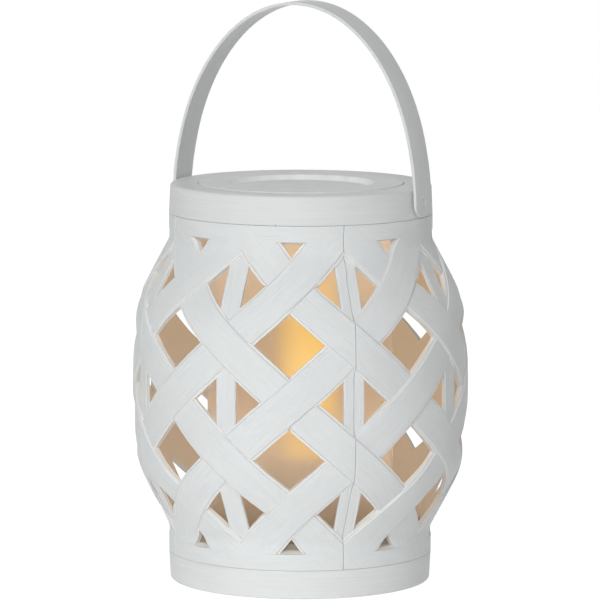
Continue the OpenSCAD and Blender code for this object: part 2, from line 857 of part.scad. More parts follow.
base_tray();
battery_box();
battery_door();
door_screw();
battery(0);  // battery_1
battery(1);  // battery_2
battery(2);  // battery_3
contact_plates();
contact_springs();
battery_leads();
control_board();
board_chip();
board_screws();
switch_body();
switch_knob();
lamp_deck();
deck_screws();
lead_wires();
lamp_holder();
led_core();
led_sheet();
led_chips();
flame_cover();
diffuser_tube();
lattice_panel(0);  // lattice_panel_front
lattice_panel(1);  // lattice_panel_right
lattice_panel(2);  // lattice_panel_back
lattice_panel(3);  // lattice_panel_left
top_collar();
lid();
stud_right();
stud_left();
handle();
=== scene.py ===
"""Looks of a battery lantern: a woven-look white basket of four lattice panels, a collar with a
dished lid, a strap handle on two studs, and a frosted tube round a glowing flame-effect lamp.
Lengths are metres, angles radians. Everything is built round the frame that is loaded first."""

import json
from math import cos, pi, radians, sin, tan, tau

import bmesh
import bpy
from bpy.props import FloatProperty, FloatVectorProperty, IntProperty, PointerProperty
from bpy.types import Operator, Panel, PropertyGroup
from mathutils import Matrix, Quaternion, Vector

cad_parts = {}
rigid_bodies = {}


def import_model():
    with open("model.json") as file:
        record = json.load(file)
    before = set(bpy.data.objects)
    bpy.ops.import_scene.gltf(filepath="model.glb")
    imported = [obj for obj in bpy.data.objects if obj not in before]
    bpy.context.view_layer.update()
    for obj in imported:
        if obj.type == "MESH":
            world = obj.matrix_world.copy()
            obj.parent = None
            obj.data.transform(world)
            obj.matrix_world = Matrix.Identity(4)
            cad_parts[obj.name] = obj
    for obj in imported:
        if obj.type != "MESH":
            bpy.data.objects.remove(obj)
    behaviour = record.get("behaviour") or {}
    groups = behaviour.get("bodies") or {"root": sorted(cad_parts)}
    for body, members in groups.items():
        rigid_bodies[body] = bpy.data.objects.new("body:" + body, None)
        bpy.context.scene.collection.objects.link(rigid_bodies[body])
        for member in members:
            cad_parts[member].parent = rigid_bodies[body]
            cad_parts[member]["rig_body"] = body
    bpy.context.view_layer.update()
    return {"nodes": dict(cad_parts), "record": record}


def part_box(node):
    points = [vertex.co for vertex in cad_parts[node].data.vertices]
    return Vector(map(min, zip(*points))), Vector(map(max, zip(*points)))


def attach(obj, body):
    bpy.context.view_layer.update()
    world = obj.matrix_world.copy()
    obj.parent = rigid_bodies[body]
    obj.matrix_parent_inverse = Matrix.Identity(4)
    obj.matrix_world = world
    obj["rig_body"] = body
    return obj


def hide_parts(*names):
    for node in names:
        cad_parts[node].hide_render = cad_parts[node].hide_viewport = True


bl_info = {
    "name": "Battery Lantern",
    "version": (1, 0, 0),
    "blender": (4, 5, 0),
    "location": "View3D > Sidebar > Lantern",
    "description": "Dresses a battery lantern's frame with its basket, lamp, handle and finishes",
    "category": "Object"}

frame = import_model()
MM = 0.001

# Places that the frame gives
PANEL_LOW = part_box("lattice_panel_front")[0].z
PANEL_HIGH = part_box("lattice_panel_front")[1].z
NECK_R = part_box("top_collar")[1].x
BODY_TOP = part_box("top_collar")[1].z
LID_LOW, LID_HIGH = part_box("lid")
TUBE_LOW, TUBE_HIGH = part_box("diffuser_tube")
TUBE_WALL = 1.6 * MM
COVER_LOW, COVER_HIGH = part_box("flame_cover")
SHEET_LOW, SHEET_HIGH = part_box("led_sheet")
CHIP_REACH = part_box("led_chips")[1].x
PIVOT_Z = (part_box("stud_right")[0].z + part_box("stud_right")[1].z) / 2
STRAP_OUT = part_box("handle")[1].x
STRAP_LOW, STRAP_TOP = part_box("handle")[0].z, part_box("handle")[1].z
STRAP_HALF_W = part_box("handle")[1].y

# The weave: eight strips each way, six half steps up the basket
STRIPS_AROUND = 8
HALF_ROWS = 6
HALF_TURN = pi / STRIPS_AROUND
PANEL_TURN = pi / 2
STRIP_MARGIN = radians(10)

# Turned and dressed pieces: the share of a side that a rounding may take, the share of its reach
# that stays flat beside it, and what counts as on the axis, as one point and as one flat
SIDE_SHARE, FLAT_SHARE = 0.48, 0.25
ON_AXIS, MERGE_WITHIN, FLAT_WITHIN = 1e-7, 1e-6, radians(0.5)

BLACK, WHITE = (0, 0, 0, 1), (1, 1, 1, 1)


# ---- Sizes and colours that a user would change ----

def number(label, default, description, **more):
    return FloatProperty(name=label, description=description, default=default, **more)


def length(label, default, description):
    """A length property, given in millimetres."""
    return number(label, default * MM, description, unit="LENGTH", precision=5)


def colour(label, default, description):
    return FloatVectorProperty(
        name=label, description=description, default=default, subtype="COLOR", size=3, min=0, max=1)


class BasketSizes(PropertyGroup):
    """Shape of the basket and its woven strips"""

    neck: length("Neck radius", NECK_R / MM, "Outer radius of the neck")
    bulge: length("Bulge radius", 67.32, "Outer radius where the basket is widest")
    joint: length("Joint gap", 0.15, "Gap between a panel and the base or collar")
    neck_length: length("Neck length", 10.25, "Straight neck at each end")
    shoulder: length("Shoulder length", 26, "Height of each sloping shoulder")
    crown_drop: length("Crown drop", 1.2, "How far the crown falls back to the shoulder")
    crown_blend: length("Crown blend", 2.8, "Blend of the crown into the shoulder")
    neck_blend: length("Neck blend", 0.6, "Blend of the shoulder into the neck")
    strip: length("Strip width", 13.6, "Width of a strip's outer face")
    wall: length("Wall", 2.8, "From a strip's outer face to its inner face")
    weave: length("Weave step", 1, "Step between over and under")
    draft: length("Draft", 1, "Draft of the window walls")
    ledge: length("Ledge", 0.8, "Width of the ledge along the windows")
    ledge_step: length("Ledge step", 0.45, "Depth of the ledge below a strip's face")
    edge: length("Edge round", 0.42, "Rounding of the strips' outer edges")
    stave: length("Stave width", 8.5, "Width of an upright stave")
    stave_inset: length("Stave inset", 1.4, "Depth of a stave's face below the basket's face")
    rim: length("Rim height", 6.5, "Height of the plain band at each end")
    seam: length("Seam gap", 0.2, "Gap between two panels")
    seam_edge: length("Seam edge", 0.2, "Broken edge along the seams")
    seam_jog: length("Seam jog", 0.28, "How far the seam steps aside at each crossing")
    waviness: length("Waviness", 0.16, "How uneven the inner edges of the windows are")


class HandleSizes(PropertyGroup):
    """Shape of the strap handle"""

    outer: length(
        "Outer half span", STRAP_OUT / MM - 0.25, "From the middle to the strap's outer face")
    top: length("Top", STRAP_TOP / MM, "Height of the strap's outer face")
    pivot: length("Pivot height", PIVOT_Z / MM, "Height of the studs")
    half_width: length("Half width", STRAP_HALF_W / MM, "Half the strap's width")
    tip: length("Tip drop", (PIVOT_Z - STRAP_LOW) / MM, "Reach of the round ends below the studs")
    thickness: length("Thickness", 1.2, "Thickness of the strap")
    edge: length("Edge round", 0.2, "Rounding of the strap's edges")
    lean: length("Lean", 0.6, "How far the arch leans aside at its top")
    bore: length("Bore radius", 1.25, "Radius of the bore on the stud")
    recess: length("Recess radius", 1.55, "Radius of the recess for a stud's head")
    recess_depth: length("Recess depth", 0.5, "Depth of the recess for a stud's head")
    flare: length("Recess flare", 2.0, "Radius of the recess at the strap's face")
    flare_depth: length("Flare depth", 0.2, "Depth of the recess's flare")
    head: length("Head radius", 1.48, "Radius of a stud's head")
    head_thick: length("Head thickness", 0.3, "Thickness of a stud's head")
    shank: length("Shank radius", 1.2, "Radius of a stud's shank")


class LidSizes(PropertyGroup):
    """Shape of the lid"""

    rim: length("Lid rim", 2.6, "Thickness of the lid's rim in its seat")
    rim_edge: length("Rim edge", 0.55, "Rounding of the rim's upper edge")
    tube_gap: length("Tube gap", 0.3, "Gap between the lid's lip and the tube's bore")
    dish: length("Dish radius", 27, "Radius of the flat bottom of the dish")
    dish_slope: length("Dish slope", 2.2, "Radial run of the dish's wall")
    dish_depth: length("Dish depth", 2.2, "Depth of the dish")
    dish_edge: length("Dish edge", 1.3, "Rounding of the dish's edges")


class ChipSizes(PropertyGroup):
    """Rows of light chips round the lamp's core"""

    rows: IntProperty(name="Rows", description="Rows of chips", default=8, min=1)
    columns: IntProperty(name="Columns", description="Chips in each row", default=6, min=1)
    low: length("Lowest", SHEET_LOW.z / MM, "Height of the lower end of the light sheet")
    high: length("Highest", SHEET_HIGH.z / MM, "Height of the upper end of the light sheet")
    reach: length("Chip radius", CHIP_REACH / MM, "From the axis to a chip's face")
    width: length("Chip width", 2.4, "Width and height of a chip")
    thick: length("Chip thickness", 0.7, "Thickness of a chip")


class Finish(PropertyGroup):
    """Colours of the finishes, and of the lamp light and shade painted on some of them"""

    basket: colour("Basket", (0.80, 0.825, 0.825), "White of the basket")
    # Painted light: the window walls are a warmer white, standing in for the lamp's light that
    # falls on them
    wall: colour("Wall", (0.82, 0.815, 0.80), "White of the window walls")
    # Painted lamp light: a warm tint on the basket's inner faces, whose plastic is white
    inside: colour("Inside", (0.80, 0.71, 0.60), "Inner faces of the basket in the lamp's light")
    collar: colour("Collar", (0.775, 0.795, 0.79), "White of the collar")
    base: colour("Base", (0.80, 0.82, 0.815), "White of the base and the lid")
    # Painted shade: the white base behind the basket is coloured dark as if in shadow
    hidden: colour("Hidden", (0.52, 0.445, 0.37), "Base behind the basket, in the shade")
    # Painted highlight: a lighter colour for the dish's sloping wall, standing in for the light
    # that it catches
    polish: colour("Polish", (0.95, 0.96, 0.95), "Polished wall of the lid's dish")
    strap: colour("Strap", (0.757, 0.777, 0.767), "White of the handle")
    tube: colour("Tube", (0.82, 0.735, 0.62), "Frosted tube")
    glow: colour("Glow", (1.0, 0.68, 0.06), "Light of the lamp's cover")
    # Painted glow on the tube, standing in for the lamp's light inside it
    halo: colour("Halo", (1.0, 0.82, 0.66), "Light that fills the tube")
    # Painted lamp light: the glow given to the basket's inner faces
    inside_strength: number(
        "Inside strength", 0.125, "Strength of the light on the basket's inner faces", min=0)
    glow_strength: number("Glow strength", 1.0, "Strength of the lamp's cover", min=0)
    halo_strength: number("Halo strength", 0.3, "Strength of the light in the tube", min=0)


class Stage(PropertyGroup):
    """Camera and studio"""

    azimuth: number(
        "Azimuth", radians(26.3145), "Direction of the camera from the front", subtype="ANGLE")
    reach: length("Reach", 2005.6, "Level distance from the axis to the camera")
    height: length("Height", 368.19, "Height of the camera")
    aim: length("Aim", 112.28, "Height of the point on the axis that the camera looks at")
    roll: number("Roll", radians(0.15), "Turn of the camera about its view", subtype="ANGLE")
    lens: number("Lens", 302.67, "Focal length in millimetres on a 36 mm sensor")
    shift: number("Shift", -0.00101, "Sideways shift of the frame")
    ambient: number("Ambient", 0.31, "Strength of the studio's even light", min=0)
    dim_above: number("Dim above", 0.15, "Share of the even light that is missing overhead")
    dim_right: number("Dim right", 0.2, "Share of the even light that is missing at the right")


# ---- Node trees as sums ----

def pair(operation):
    """An operator on two terms, and its reflected form."""
    return (
        lambda self, term: self.sum(operation, self, term),
        lambda self, term: self.sum(operation, term, self))


def single(operation):
    """A function of one value."""
    return lambda self: self.sum(operation, self)


class Value:
    """A number, colour or vector in a node tree. Sums on it add Math nodes."""

    def __init__(self, maker, socket):
        self.maker, self.socket = maker, socket

    def other(self, name):
        """Another output of the node that this value comes from."""
        return Value(self.maker, self.socket.node.outputs[name])

    def sum(self, operation, *terms):
        return self.maker.node("ShaderNodeMath", {"operation": operation}, dict(enumerate(terms)))

    def clip(self, low=0.0, high=1.0):
        return self.maker.node("ShaderNodeClamp", None, {0: self, 1: low, 2: high})

    def __neg__(self):
        return self * -1

    __add__, __radd__ = pair("ADD")
    __sub__, __rsub__ = pair("SUBTRACT")
    __mul__, __rmul__ = pair("MULTIPLY")
    __truediv__, __rtruediv__ = pair("DIVIDE")
    __pow__, __rpow__ = pair("POWER")
    __abs__, sin, cos = single("ABSOLUTE"), single("SINE"), single("COSINE")
    root, sign, floor = single("SQRT"), single("SIGN"), single("FLOOR")


def least(a, b):
    return a.sum("MINIMUM", a, b)


def most(a, b):
    return a.sum("MAXIMUM", a, b)


def soft_min(a, b, blend):
    near = most(blend - abs(a - b), 0)
    return least(a, b) - near * near / (blend * 4)


def soft_max(a, b, blend):
    near = most(blend - abs(a - b), 0)
    return most(a, b) + near * near / (blend * 4)


class Tree:
    """Makes the nodes of one tree."""

    def __init__(self, tree):
        self.tree = tree

    def node(self, kind, settings=None, sockets=None, out=0, **named):
        """A new node: its settings come first, then the values or links of its sockets, which are
        given in a dictionary, or by name with _ for a space."""
        made = self.tree.nodes.new(kind)
        for name, value in (settings or {}).items():
            if name == "stops":
                self.fill_ramp(made.color_ramp, value)
            else:
                setattr(made, name, value)
        named = {name.replace("_", " "): value for name, value in named.items()}
        for key, value in {**(sockets or {}), **named}.items():
            for item in value if isinstance(value, list) else [value]:
                if isinstance(item, Value):
                    self.tree.links.new(item.socket, made.inputs[key])
                else:
                    made.inputs[key].default_value = item
        return Value(self, made.outputs[out]) if made.outputs else None

    @staticmethod
    def fill_ramp(ramp, stops):
        while len(ramp.elements) > 1:
            ramp.elements.remove(ramp.elements[-1])
        ramp.elements[0].position, ramp.elements[0].color = stops[0]
        for place, shade in stops[1:]:
            ramp.elements.new(place).color = shade

    def vector(self, x, y, z):
        return self.node("ShaderNodeCombineXYZ", None, {0: x, 1: y, 2: z})

    def parts(self, vector):
        x = self.node("ShaderNodeSeparateXYZ", None, {0: vector})
        return x, x.other("Y"), x.other("Z")

    def noise(self, place, detail=2.0, rough=0.5):
        return self.node(
            "ShaderNodeTexNoise", Vector=place, Scale=1.0, Detail=detail, Roughness=rough)

    def mix(self, share, first, second):
        """A colour between two others."""
        return self.node(
            "ShaderNodeMix", {"data_type": "RGBA"}, {0: share, 6: first, 7: second}, out=2)


# ---- Geometry trees ----

def labels(group):
    """Names and values of a property group's fields."""
    return {
        p.name: getattr(group, p.identifier)
        for p in group.bl_rna.properties
        if p.identifier not in ("rna_type", "name")}


class Shape(Tree):
    """A geometry tree. Its named inputs are a property group's fields, numbers and a material."""

    def __init__(self, name, sizes, numbers=()):
        tree = bpy.data.node_groups.new(name, "GeometryNodeTree")
        for label in [*labels(sizes), *numbers]:
            tree.interface.new_socket(label, in_out="INPUT", socket_type="NodeSocketFloat")
        tree.interface.new_socket("Finish", in_out="INPUT", socket_type="NodeSocketMaterial")
        tree.interface.new_socket("Geometry", in_out="OUTPUT", socket_type="NodeSocketGeometry")
        super().__init__(tree)
        self.entry = self.node("NodeGroupInput")

    def __getitem__(self, label):
        """One of the tree's named inputs."""
        return self.entry.other(label)

    def places(self):
        """X, Y and Z of the points as they stand."""
        return self.parts(self.node("GeometryNodeInputPosition"))

    def grid(self, across, along, through):
        """A unit box with so many points each way."""
        return self.node(
            "GeometryNodeMeshCube", Vertices_X=across, Vertices_Y=along, Vertices_Z=through)

    def copies(self, points, shape, **how):
        return self.node("GeometryNodeInstanceOnPoints", Points=points, Instance=shape, **how)

    def moved(self, geometry, **how):
        """Geometry that is moved, turned or scaled."""
        return self.node("GeometryNodeTransform", Geometry=geometry, **how)

    def boxes(self, box, count, spacing):
        """Copies of a box in one place. Points keep their box's number, times spacing, as turn."""
        row = self.node("GeometryNodeMeshLine", Count=count, Offset=(0, 0, 0))
        number = self.node("GeometryNodeInputIndex")
        row = self.keep(row, "turn", (number - (count - 1) / 2) * spacing, "FLOAT", "POINT")
        return self.node("GeometryNodeRealizeInstances", Geometry=self.copies(row, box))

    def turn(self):
        return self.node("GeometryNodeInputNamedAttribute", {"data_type": "FLOAT"}, Name="turn")

    def keep(self, geometry, name, value, kind="FLOAT_VECTOR", domain="CORNER"):
        return self.node(
            "GeometryNodeStoreNamedAttribute", {"data_type": kind, "domain": domain},
            Geometry=geometry, Name=name, Value=value)

    def shape(self, geometry, grain, place):
        """Moves the points to their places. Grain keeps how far each lies across and along the
        piece, and how far out, from 0 on inner faces to 1 on outer ones."""
        kept = self.keep(geometry, "grain", grain)
        return self.node("GeometryNodeSetPosition", Geometry=kept, Position=place)

    def cut(self, operation, meshes):
        sockets = {"Mesh 2": meshes}
        if operation == "DIFFERENCE":
            sockets = {"Mesh 1": meshes[0], "Mesh 2": meshes[1:]}
        return self.node(
            "GeometryNodeMeshBoolean", {"operation": operation, "solver": "MANIFOLD"}, sockets)

    def end(self, geometry):
        bare = self.node("GeometryNodeRemoveAttribute", Geometry=geometry, Name="turn")
        real = self.node("GeometryNodeRealizeInstances", Geometry=bare)
        done = self.node("GeometryNodeSetMaterial", Geometry=real, Material=self["Finish"])
        self.node("NodeGroupOutput", Geometry=done)
        return self.tree


class Basket(Shape):
    """The tree of one lattice panel: strips, staves and rims round the basket, cut at its seams.
    Numbers added to a place only keep the waves and the grain of two pieces apart."""

    # The weave flattens from just past the shoulders, and the ledges end short of a crossing
    PAST_SHOULDER, FLATTENING = 3 * MM, 12 * MM
    CROSSING, LEDGE_FADE = 0.86, 10
    # Shares of the ledge's step: the run of its riser, and how far the ledge itself slopes
    RISER_RUN, LEDGE_SLOPE = 0.4, 0.3
    # Length of an inner edge's waves, and the top of a seam, where it steps further aside
    WAVE, SEAM_TOP, TOP_JOG = 5 * MM, 22 * MM, 1.6
    WEDGE_INNER, WEDGE_OUTER = 20 * MM, 110 * MM

    def __init__(self, sizes):
        super().__init__("Lattice panel", sizes, ["Turn", "Seed", "Cut back"])
        joint = self["Joint gap"]
        self.low = PANEL_LOW - joint
        self.high = PANEL_HIGH + joint
        self.middle = (self.low + self.high) / 2
        self.pitch = (self.high - self.low) / HALF_ROWS
        self.neck_half = (self.high - self.low) / 2 - self["Neck length"]

    def radius(self, height):
        """Radius of the basket's outer face at a height."""
        neck, bulge = self["Neck radius"], self["Bulge radius"]
        drop, shoulder = self["Crown drop"], self["Shoulder length"]
        away = abs(height - self.middle)
        fall = away / (self.neck_half - shoulder)
        crown = bulge - drop * fall * fall
        slope = neck + (bulge - drop - neck) * (self.neck_half - away) / shoulder
        return soft_max(neck, soft_min(crown, slope, self["Crown blend"]), self["Neck blend"])

    def lean(self, height):
        """Slope of the outer face: change of radius with height."""
        step = 0.1 * MM
        return (self.radius(height + step) - self.radius(height - step)) / (2 * step)

    def point(self, angle, height, out):
        """The point that lies out from the outer face, square to it."""
        lean = self.lean(height)
        tilt = (lean * lean + 1).root()
        r = self.radius(height) + out / tilt
        return self.vector(r * angle.sin(), -(r * angle.cos()), height - out * lean / tilt)

    def rounding(self, across, half):
        edge = self["Edge round"]
        over = ((abs(across) - half + edge) / edge).clip()
        return edge * (1 - (1 - over * over).root())

    @staticmethod
    def thirds(rise):
        """How far each third of a wall is climbed, from its foot to its top."""
        return (rise * 3).clip(), (rise * 3 - 1).clip(), (rise * 3 - 2).clip()

    def wave(self, side, height, number):
        place = self.vector(side * 7 + self["Seed"], height / self.WAVE, number * 9)
        return (self.noise(place, detail=3.0, rough=0.6) - 0.5) * (self["Waviness"] * 4)

    def strips(self, way):
        """Six strips that lean one way: to the right for 1, to the left for -1."""
        boxes = self.boxes(self.grid(12, 110, 4), count=6, spacing=2 * HALF_TURN)
        turn = self.turn()
        x, y, z = self.places()
        centre = self.middle - turn * self.pitch * (way / HALF_TURN)
        reach = self.pitch * ((PANEL_TURN / 2 + STRIP_MARGIN) / HALF_TURN)
        start = most(self.low - self.pitch / 2, centre - reach)
        end = least(self.high + self.pitch / 2, centre + reach)
        height = start + (end - start) * (y + 0.5)
        away = height - self.middle
        r, lean = self.radius(height), self.lean(height)
        around = r * (way * HALF_TURN) / self.pitch
        up = (lean * lean + 1).root()
        run = (around * around + up * up).root()
        angle = turn + away * (way * HALF_TURN) / self.pitch
        over = (away * pi / self.pitch).cos()
        apart = ((self.neck_half + self.PAST_SHOULDER - abs(away)) / self.FLATTENING).clip()
        dip = self["Weave step"] * (1 - over * way) / 2 * apart
        side, rise = (x * pi).sin(), z + 0.5
        half, wall, step = self["Strip width"] / 2, self["Wall"], self["Ledge step"]
        clear = ((self.CROSSING - abs(over)) * self.LEDGE_FADE).clip()
        wave = self.wave(side, height, turn + way)
        draft, ledge = self["Draft"] + wave, (self["Ledge"] + wave) * clear
        inner, upper, face = self.thirds(rise)
        slope = step * self.RISER_RUN
        across = half + slope * (1 - face) + ledge * (1 - upper)
        across = (across + (draft - slope - ledge) * (1 - inner)) * side
        out = (wall - dip - step * (1 + self.LEDGE_SLOPE)) * inner + step * self.LEDGE_SLOPE * upper
        out = out + step * face - wall - self.rounding(across, half) * face
        place = self.point(angle + across * up / run / r, height - across * around / run / up, out)
        return self.shape(boxes, self.vector(across, height * run + turn + way * 7, rise), place)

    def staves(self):
        """Three upright staves, under both seams and between them, where it can start high up."""
        boxes = self.boxes(self.grid(8, 130, 3), count=3, spacing=PANEL_TURN / 2)
        turn = self.turn()
        x, y, z = self.places()
        middle = 1 - (abs(turn) * 10).clip()
        start = self.low + (self.high - self.low) * self["Cut back"] * middle
        height = start + (self.high - start) * (y + 0.5)
        side, rise = (x * pi).sin(), z + 0.5
        half = self["Stave width"] / 2 + self.wave(side, height, turn * 3 + 20)
        across = half * side
        thick = self["Wall"] - self["Stave inset"]
        r = self.radius(height) - self["Wall"] + (thick - self.rounding(across, half)) * rise
        place = self.vector(
            across * turn.cos() + r * turn.sin(), across * turn.sin() - r * turn.cos(), height)
        return self.shape(boxes, self.vector(across, height + turn + 31, rise), place)

    def rims(self):
        """The plain bands along the lower and the upper edge."""
        boxes = self.boxes(self.grid(70, 4, 3), count=2, spacing=2.0)
        top = (self.turn() + 1) / 2
        x, y, z = self.places()
        rise = z + 0.5
        tall = self["Rim height"] + self["Draft"] * (1 - rise)
        low = (y + 0.5) * tall + self.low
        high = self.high - (0.5 - y) * tall
        height = low + (high - low) * top
        angle = x * (PANEL_TURN + STRIP_MARGIN)
        r = self["Neck radius"] - self["Wall"] * (1 - rise)
        place = self.vector(r * angle.sin(), -(r * angle.cos()), height)
        return self.shape(boxes, self.vector(height, angle * NECK_R + top + 40, rise), place)

    def wedge(self):
        """The room of one panel between its two seams, which step aside at each crossing."""
        inner, outer = self.WEDGE_INNER, self.WEDGE_OUTER
        x, y, z = self.places()
        side = x * 2
        inside, skin, outside = self.thirds(z + 0.5)
        height = PANEL_LOW + (PANEL_HIGH - PANEL_LOW) * (y + 0.5)
        r, edge = self.radius(height), self["Seam edge"]
        reach = (
            inner + (r - edge - inner) * inside + edge * 2 * skin + (outer - r - edge) * outside)
        gap = self["Seam gap"] / 2 + edge * 2 * skin
        row = ((height - self.middle) * pi / self.pitch).cos()
        jog = self["Seam jog"]
        near_top = ((height - self.high) / self.SEAM_TOP + 1).clip()
        aside = jog * (row * -4).clip(-1, 1) + jog * self.TOP_JOG * (near_top * tau).sin()
        aside = aside - side * gap
        angle = side * (PANEL_TURN / 2)
        place = self.vector(
            angle.sin() * reach + angle.cos() * aside, angle.sin() * aside - angle.cos() * reach,
            height)
        return self.shape(self.grid(2, 180, 4), self.vector(0.0, height, 0.9), place)

    def build(self):
        pieces = [self.strips(1), self.strips(-1), self.staves(), self.rims()]
        panel = self.cut("INTERSECT", [self.cut("UNION", pieces), self.wedge()])
        return self.end(self.moved(panel, Rotation=self.vector(0.0, 0.0, self["Turn"])))


class Strap(Shape):
    """The tree of the handle: a strap along half an ellipse, its round ends bored for the studs."""

    # The arch's share of the strap's points, and how far round its ends the rest goes
    ARCH_SHARE, TIP_TURN = 0.86, radians(87)

    def __init__(self, sizes):
        super().__init__("Strap", sizes)

    def bored(self, strap, side, start, end, wide, narrow=None):
        """Takes a round or conical hole out of the strap, from start to end along X on one side."""
        drill = self.node(
            "GeometryNodeMeshCone", Vertices=64, Radius_Bottom=narrow or wide, Radius_Top=wide,
            Depth=end - start)
        drill = self.moved(
            drill, Rotation=(0, side * pi / 2, 0),
            Translation=self.vector(start * side, 0.0, self["Pivot height"]))
        return self.cut("DIFFERENCE", [strap, drill])

    def build(self):
        outer, pivot = self["Outer half span"], self["Pivot height"]
        thick, edge, half = self["Thickness"], self["Edge round"], self["Half width"]
        x, y, z = self.places()
        along = y * 2
        arch = (abs(along) / self.ARCH_SHARE).clip() * (pi / 2)
        tip = ((abs(along) - self.ARCH_SHARE) / (1 - self.ARCH_SHARE)).clip() * self.TIP_TURN
        reach = half * tip.cos() ** 0.8
        across = reach * (x * pi).sin()
        near = ((abs(across) - reach + edge) / edge).clip()
        rounding = edge * (1 - (1 - near * near).root())
        out = z * 2 * (thick / 2 - rounding)
        middle = outer - thick / 2
        rise = self["Top"] - thick / 2 - pivot
        drop = self["Tip drop"] * tip.sin()
        high, wide = arch.cos(), arch.sin()
        # Across its width the strap bends as the collar does, except near the pivots
        bow = across * across / (2 * NECK_R) * (high * 4).clip()
        place = self.vector(
            along.sign() * (middle + out - bow) * wide + self["Lean"] * high, across,
            pivot + (rise + out) * high - drop)
        run = along.sign() * (arch * rise + drop)
        strap = self.shape(self.grid(16, 280, 4), self.vector(across, run, 1.0), place)
        within, beyond = outer * 0.8, outer * 1.2
        floor = outer - self["Recess depth"]
        rim = outer - self["Flare depth"]
        narrow = self["Recess radius"]
        flare = self["Recess flare"] * 2 - narrow
        for side in (1, -1):
            strap = self.bored(strap, side, within, beyond, self["Bore radius"])
            strap = self.bored(strap, side, floor, beyond, narrow)
            strap = self.bored(strap, side, rim, outer + (outer - rim), flare, narrow)
        return self.end(strap)


class Chips(Shape):
    """The tree of the light chips: rows of lenses round the sheet, each row half a place on."""

    # The lens as shares of the chip's width, of its thickness and of a full ball's depth
    LENS, LENS_OUT, LENS_FLAT = 0.4, 0.1, 0.42

    def __init__(self, sizes):
        super().__init__("Light chips", sizes)

    def build(self):
        rows, columns = self["Rows"], self["Columns"]
        low, high = self["Lowest"], self["Highest"]
        width, thick = self["Chip width"], self["Chip thickness"]
        number = self.node("GeometryNodeInputIndex")
        row = (number / columns + 0.001).floor()
        column = number - row * columns
        turn = (column + (row - (row / 2).floor() * 2) / 2) * tau / columns
        r = self["Chip radius"] - thick / 2
        height = low + (high - low) * (row + 0.5) / rows
        points = self.node("GeometryNodeMeshLine", Count=rows * columns)
        points = self.node(
            "GeometryNodeSetPosition", Geometry=points,
            Position=self.vector(r * turn.cos(), r * turn.sin(), height))
        body = self.node("GeometryNodeMeshCube", Size=self.vector(thick, width, width))
        ball = self.node("GeometryNodeMeshUVSphere", Segments=14, Rings=8, Radius=width * self.LENS)
        place = self.vector(thick * self.LENS_OUT, 0.0, 0.0)
        lens = self.moved(ball, Translation=place, Scale=(self.LENS_FLAT, 1, 1))
        chip = self.node("GeometryNodeJoinGeometry", None, {0: [body, lens]})
        return self.end(self.copies(points, chip, Rotation=self.vector(0.0, 0.0, turn)))


# ---- Pieces ----

def node_slot(node):
    """The material slot that the record gives a node."""
    for part in frame["record"]["subparts"]:
        if part["node"] == node:
            return part["material_slot"]
    raise ValueError(f"the record has no subpart named {node}")


def settle(piece, finish, node):
    """Gives a finished piece its material and body in place of a frame's node, and looks up the
    node's slot in the record.
    """
    if finish is not None:
        piece.data.materials.clear()
        piece.data.materials.append(finish)
    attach(piece, frame["nodes"][node]["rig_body"])
    node_slot(node)
    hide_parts(node)


def linked(name, data):
    thing = bpy.data.objects.new(name, data)
    bpy.context.scene.collection.objects.link(thing)
    return thing


def smooth(mesh, angle=34):
    """Smooth shading that keeps the edges sharper than an angle in degrees."""
    mesh.shade_smooth()
    mesh.set_sharp_from_angle(angle=radians(angle))


def applied(piece):
    """Turns a piece with modifiers into a plain mesh."""
    graph = bpy.context.evaluated_depsgraph_get()
    graph.update()
    mesh = bpy.data.meshes.new_from_object(piece.evaluated_get(graph))
    piece.modifiers.clear()
    piece.data = mesh
    return piece


def grown(name, tree, values):
    """A plain mesh from a geometry tree; values go to its inputs by name."""
    piece = linked(name, bpy.data.meshes.new(name))
    modifier = piece.modifiers.new("Tree", "NODES")
    modifier.node_group = tree
    for item in tree.interface.items_tree:
        if item.in_out == "INPUT":
            modifier[item.identifier] = values[item.name]
    return applied(piece)


def rounded(corners, steps):
    """Points of a closed outline from corners of (radius, height, rounding)."""
    points = []
    for i, (x, z, bend) in enumerate(corners):
        here = Vector((x, z))
        if bend <= 0:
            points.append(here)
            continue
        before = Vector(corners[i - 1][:2]) - here
        after = Vector(corners[(i + 1) % len(corners)][:2]) - here
        u, v = before.normalized(), after.normalized()
        half = u.angle(v) / 2
        room = SIDE_SHARE * min(before.length, after.length)
        bend = min(bend, room * tan(half))
        reach = bend / tan(half)
        flat = min(reach * FLAT_SHARE, room - reach)
        centre = here + (u + v).normalized() * (bend / sin(half))
        start, end = here + u * reach - centre, here + v * reach - centre
        swing = start.angle(end)
        if flat > 0:
            points.append(here + u * (reach + flat))
        for k in range(steps + 1):
            share = k / steps
            part = start * sin((1 - share) * swing) + end * sin(share * swing)
            points.append(centre + part / sin(swing))
        if flat > 0:
            points.append(here + v * (reach + flat))
    return points


def turned(name, corners, steps=192, bend_steps=7):
    """A closed solid turned round Z from an outline; points on the axis become poles."""
    work = bmesh.new()
    rings = []
    for r, z in rounded(corners, bend_steps):
        turns = [tau * k / steps for k in range(1 if r < ON_AXIS else steps)]
        rings.append([work.verts.new((r * cos(t), r * sin(t), z)) for t in turns])
    for i, ring in enumerate(rings):
        following = rings[(i + 1) % len(rings)]
        if len(ring) == 1 and len(following) == 1:
            continue
        for k in range(steps):
            n = (k + 1) % steps
            if len(ring) == 1:
                work.faces.new((ring[0], following[n], following[k]))
            elif len(following) == 1:
                work.faces.new((ring[k], ring[n], following[0]))
            else:
                work.faces.new((ring[k], ring[n], following[n], following[k]))
    bmesh.ops.recalc_face_normals(work, faces=work.faces)
    mesh = bpy.data.meshes.new(name)
    work.to_mesh(mesh)
    work.free()
    smooth(mesh)
    return linked(name, mesh)


